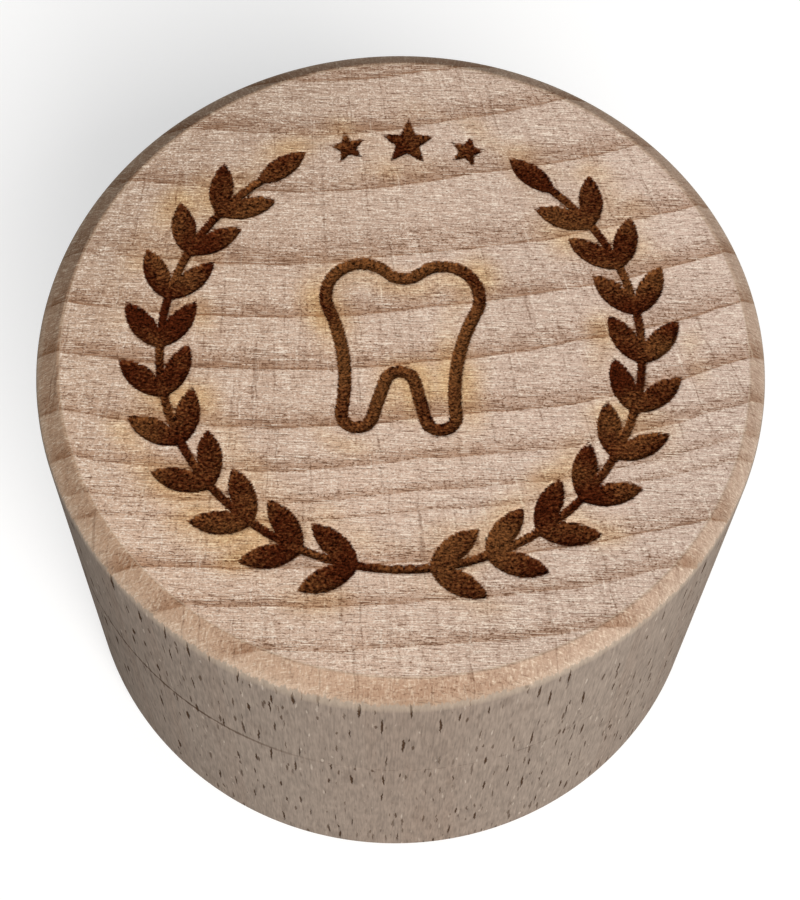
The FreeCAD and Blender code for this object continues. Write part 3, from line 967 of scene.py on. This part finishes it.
def painted_seam_shadow(figure, turning):
    """Painted shadow in the seam: a dark hairline, outside alone, wider on the side where the seam shows
    most.
    """
    aside = figure.x * math.cos(turning.seam_side) + figure.y * math.sin(turning.seam_side)
    facing = aside * (MILLIMETRE / RADIUS)
    away = abs(figure.z - SEAM / MILLIMETRE) + figure.layer("lump") * SEAM_WAVER
    hairline = smooth(away, *HAIRLINE_SPAN) * HAIRLINE_SHADOW
    line = away.math("MAXIMUM", hairline, smooth(away, *OPEN_SPAN) * smooth(facing, *OPEN_SIDE))
    return line * (1 - figure.inside)


# Depth of open rays and height of the turning tool's rings, in mm
RAY_DEPTH = 0.05
TOOL_HEIGHT = 0.05


def wood_relief(figure, across):
    """Height in mm: streaks and grit on the end grain, fibres and open rays on the side, and the level rings
    that a turning tool leaves inside the box."""
    end = figure.flat * figure.mixed(SANDED_HEIGHT) + figure.mixed(END_HEIGHT)
    side = figure.mixed(SIDE_HEIGHT) - figure.long_ray * RAY_DEPTH
    return end * across + side * (1 - across) + figure.inside * figure.layer("tool_mark") * TOOL_HEIGHT


# Burn: how far its edge is ragged, and the mm from the engraving's edge, negative inside it, over which heat
# tint, scorch and char come up
BURN_RAGGED = 0.3
HEAT_REACH = (2.4, 0.1)
SCORCH_REACH = (0.1, 0.0)
CHAR_REACH = (0.05, -0.05)
# Noise over which heat tints come up, tone over which char turns to scorch, and the scorched edge's strength
HEAT_SPAN = (-0.12, 0.25)
CHAR_SPAN = (-0.2, 0.35)
SCORCH_EDGE = 0.35
# How much lighter the middle of the top is burnt, within how many mm, and the darkest mottle
MIDDLE_TONE = 0.22
MIDDLE_REACH = (10.0, 8.0)
MOTTLE_LEAST = 0.15
# Height of the burnt floor's grain in mm, and how much rougher it is
BURN_HEIGHT = 0.12
BURN_ROUGHNESS = 0.12


def burn(figure, beech, tint, height, roughness):
    """Char the engraving: dark and mottled inside its ragged edge, scorched along it, and tinted by heat
    beside it."""
    distance = figure.start.add("Attribute", {"attribute_name": "engraving"}, output="Fac")
    ragged = distance + figure.layer("burn_edge") * BURN_RAGGED
    heat = smooth(distance, *HEAT_REACH) * smooth(figure.layer("heat"), *HEAT_SPAN)
    tint = multiply(heat, tint, beech.halo)
    tint = blend(smooth(ragged, *SCORCH_REACH) * SCORCH_EDGE, tint, beech.scorch)
    tone = figure.mixed(BURN_TONE) + smooth(figure.reach, *MIDDLE_REACH) * MIDDLE_TONE
    burnt = blend(smooth(tone, *CHAR_SPAN), beech.char, beech.scorch)
    mottle = 1.0 + figure.mixed(MOTTLE_TONE)
    inside = smooth(ragged, *CHAR_REACH)
    tint = blend(inside, tint, brighten(burnt, mottle.math("MAXIMUM", mottle, MOTTLE_LEAST)))
    height = height * (1 - inside) + figure.layer("flicker") * inside * BURN_HEIGHT
    return tint, height, roughness + inside * BURN_ROUGHNESS


# Strength of the worn edge's pale line, partly wear and partly a painted highlight, the wood's roughness,
# what grit changes of it, and its faint shine
WORN_EDGE_HIGHLIGHT = 0.3
WOOD_ROUGHNESS = 0.86
GRIT_ROUGHNESS = 0.1
WOOD_SHINE = 0.01


def beech_material(name, beech, turning, engraved):
    """Raw sanded beech as a solid pattern, cut wherever the surface lies, with the lid's engraving burnt in.

    The worn edge's pale line, partly wear and partly a painted highlight, follows a parabola that is 1
    halfway from the wall to the bevel and 0 on both.
    """
    material = bpy.data.materials.new(name)
    figure = Figure(empty_tree(material), beech)
    across = figure.end_grain()
    tint = blend(across, side_grain_colour(figure, beech, turning), end_grain_colour(figure, beech))
    # Pale line along the worn round, partly a painted highlight
    worn = 4.0 * figure.bevel * (1 - figure.bevel)
    tint = blend(worn * WORN_EDGE_HIGHLIGHT, tint, beech.edge)
    height = wood_relief(figure, across)
    roughness = WOOD_ROUGHNESS + figure.layer("grit") * GRIT_ROUGHNESS
    if engraved:
        tint, height, roughness = burn(figure, beech, tint, height, roughness)
    relief = {"Strength": 1.0, "Distance": MILLIMETRE, "Height": height}
    normal = figure.start.add("Bump", {}, relief, "Normal")
    finish = {"Base Color": tint, "Roughness": roughness, "Normal": normal, "Specular IOR Level": WOOD_SHINE}
    attach_surface(figure.start.add("BsdfPrincipled", {}, finish, "BSDF"), "Material")
    return material


def empty_tree(owner):
    """The node tree of a new material or world, with no nodes yet."""
    owner.use_nodes = True
    owner.node_tree.nodes.clear()
    return owner.node_tree


def attach_surface(shader, output):
    """Make a shader the surface of its tree's material or world."""
    node = shader.tree.nodes.new("ShaderNodeOutput" + output)
    shader.tree.links.new(shader.socket, node.inputs["Surface"])


# Operators

def dress(piece, node, body, material):
    """Let a new piece stand for a node of the frame, ride on its body and carry its finish."""
    piece.data.materials.append(material)
    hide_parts(node)
    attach(piece, body)


class TOOTHBOX_OT_turn_base(Operator):
    """Turn the cup with its chamber and spigot"""

    bl_idname = "toothbox.turn_base"
    bl_label = "Turn Base"

    def execute(self, context):
        scene = context.scene
        piece = build_base(scene.toothbox_turning)
        material = beech_material("beech_base", scene.toothbox_beech, scene.toothbox_turning, engraved=False)
        dress(piece, "base", "base", material)
        return {"FINISHED"}


class TOOTHBOX_OT_turn_lid(Operator):
    """Turn the push-on cap and engrave its top"""

    bl_idname = "toothbox.turn_lid"
    bl_label = "Turn Lid"

    def execute(self, context):
        scene = context.scene
        piece = build_lid(scene.toothbox_turning, scene.toothbox_motif)
        material = beech_material("beech_lid", scene.toothbox_beech, scene.toothbox_turning, engraved=True)
        dress(piece, "lid", "lid", material)
        return {"FINISHED"}


class TOOTHBOX_OT_set_stage(Operator):
    """Lay the floor, hang the light and stand the camera where the photograph was taken"""

    bl_idname = "toothbox.set_stage"
    bl_label = "Set Stage"

    def execute(self, context):
        stage = context.scene.toothbox_stage
        lay_floor(stage)
        light_world(context.scene, stage)
        hang_light("key", stage.key_power, stage.key_colour, stage.key_direction, stage)
        hang_light("fill", stage.fill_power, stage.sky_colour, stage.fill_direction, stage)
        stand_camera(context.scene, stage)
        context.scene.view_settings.view_transform = "Standard"
        return {"FINISHED"}


# Half the floor's side, in metres
FLOOR_HALF = 1.5


def lay_floor(stage):
    """A pale floor that the camera sees as white, less the box's soft shadow."""
    mesh = bpy.data.meshes.new("floor")
    corners = [(FLOOR_HALF * x, FLOOR_HALF * y, 0.0) for x, y in ((-1, -1), (1, -1), (1, 1), (-1, 1))]
    mesh.from_pydata(corners, [], [(0, 1, 2, 3)])
    floor = bpy.data.objects.new("floor", mesh)
    bpy.context.collection.objects.link(floor)
    material = bpy.data.materials.new("pale_floor")
    start = Signal(empty_tree(material))
    seen = start.add("LightPath", output="Is Camera Ray")
    grey = (stage.floor_bounce,) * 3
    matte = start.add("BsdfDiffuse", {}, {"Color": opaque(grey)}, "BSDF")
    light = {"Color": opaque(WHITE), "Strength": stage.floor_glow * seen}
    glow = start.add("Emission", {}, light, "Emission")
    attach_surface(start.add("AddShader", {}, {0: matte, 1: glow}, "Shader"), "Material")
    mesh.materials.append(material)


def light_world(scene, stage):
    """Even light from all round; the camera sees white."""
    world = bpy.data.worlds.new("studio")
    start = Signal(empty_tree(world))
    rays = start.add("LightPath", output="Is Camera Ray")
    seen = rays.math("MAXIMUM", rays, rays.output("Is Glossy Ray"))
    seen = rays.math("MAXIMUM", seen, rays.output("Is Transmission Ray"))
    strength = stage.ambient + seen * (1.0 - stage.ambient)
    tint = blend(seen, stage.sky_colour, WHITE)
    attach_surface(start.add("Background", {}, {"Color": tint, "Strength": strength}, "Background"), "World")
    scene.world = world


def hang_light(name, power, tint, direction, stage):
    """A square soft light that points at the box."""
    lamp = bpy.data.lights.new(name, "AREA")
    lamp.energy = power
    lamp.color = tint
    lamp.size = stage.light_size
    light = bpy.data.objects.new(name, lamp)
    direction = Vector(direction).normalized()
    light.location = Vector((0.0, 0.0, SEAM)) + direction * stage.light_distance
    light.rotation_euler = direction.to_track_quat("Z", "Y").to_euler()
    bpy.context.collection.objects.link(light)


def stand_camera(scene, stage):
    """The camera at the photograph's distance, height, roll and aim."""
    lens = bpy.data.cameras.new("camera")
    lens.sensor_width = SENSOR
    lens.lens = stage.focal_pixels / PHOTO_HEIGHT * SENSOR
    lens.clip_start = NEAREST
    camera = bpy.data.objects.new("camera", lens)
    tilt = Matrix.Rotation(math.pi / 2 - stage.elevation, 3, "X")
    turn = tilt @ Matrix.Rotation(stage.roll, 3, "Z")
    turn = turn @ Matrix.Rotation(-stage.aim_side, 3, "Y") @ Matrix.Rotation(-stage.aim_down, 3, "X")
    back = tilt.col[2]
    camera.matrix_world = Matrix.Translation(Vector((0.0, 0.0, TOP)) + back * stage.distance) @ turn.to_4x4()
    bpy.context.collection.objects.link(camera)
    scene.camera = camera


class TOOTHBOX_PT_panel(Panel):
    """The box's operators and settings"""

    bl_label = "Tooth Box"
    bl_idname = "TOOTHBOX_PT_panel"
    bl_space_type = "VIEW_3D"
    bl_region_type = "UI"
    bl_category = "Tooth Box"

    def draw(self, context):
        layout = self.layout
        for operator in OPERATORS:
            layout.operator(operator.bl_idname)
        for name in SETTINGS:
            box = layout.box()
            settings = getattr(context.scene, name)
            for field in settings.__annotations__:
                box.prop(settings, field)


SETTINGS = {
    "toothbox_turning": TurningSettings,
    "toothbox_motif": MotifSettings,
    "toothbox_beech": BeechSettings,
    "toothbox_stage": StageSettings,
}
OPERATORS = (TOOTHBOX_OT_turn_base, TOOTHBOX_OT_turn_lid, TOOTHBOX_OT_set_stage)
CLASSES = (*SETTINGS.values(), *OPERATORS, TOOTHBOX_PT_panel)


def register():
    """Add the classes and hang their settings on the scene."""
    for cls in CLASSES:
        bpy.utils.register_class(cls)
    for name, group in SETTINGS.items():
        setattr(bpy.types.Scene, name, PointerProperty(type=group))


def unregister():
    """Take the settings and the classes away again."""
    for name in SETTINGS:
        delattr(bpy.types.Scene, name)
    for cls in reversed(CLASSES):
        bpy.utils.unregister_class(cls)


def main():
    """Build everything."""
    register()
    bpy.ops.toothbox.turn_base()
    bpy.ops.toothbox.turn_lid()
    bpy.ops.toothbox.set_stage()


if __name__ == "__main__":
    main()
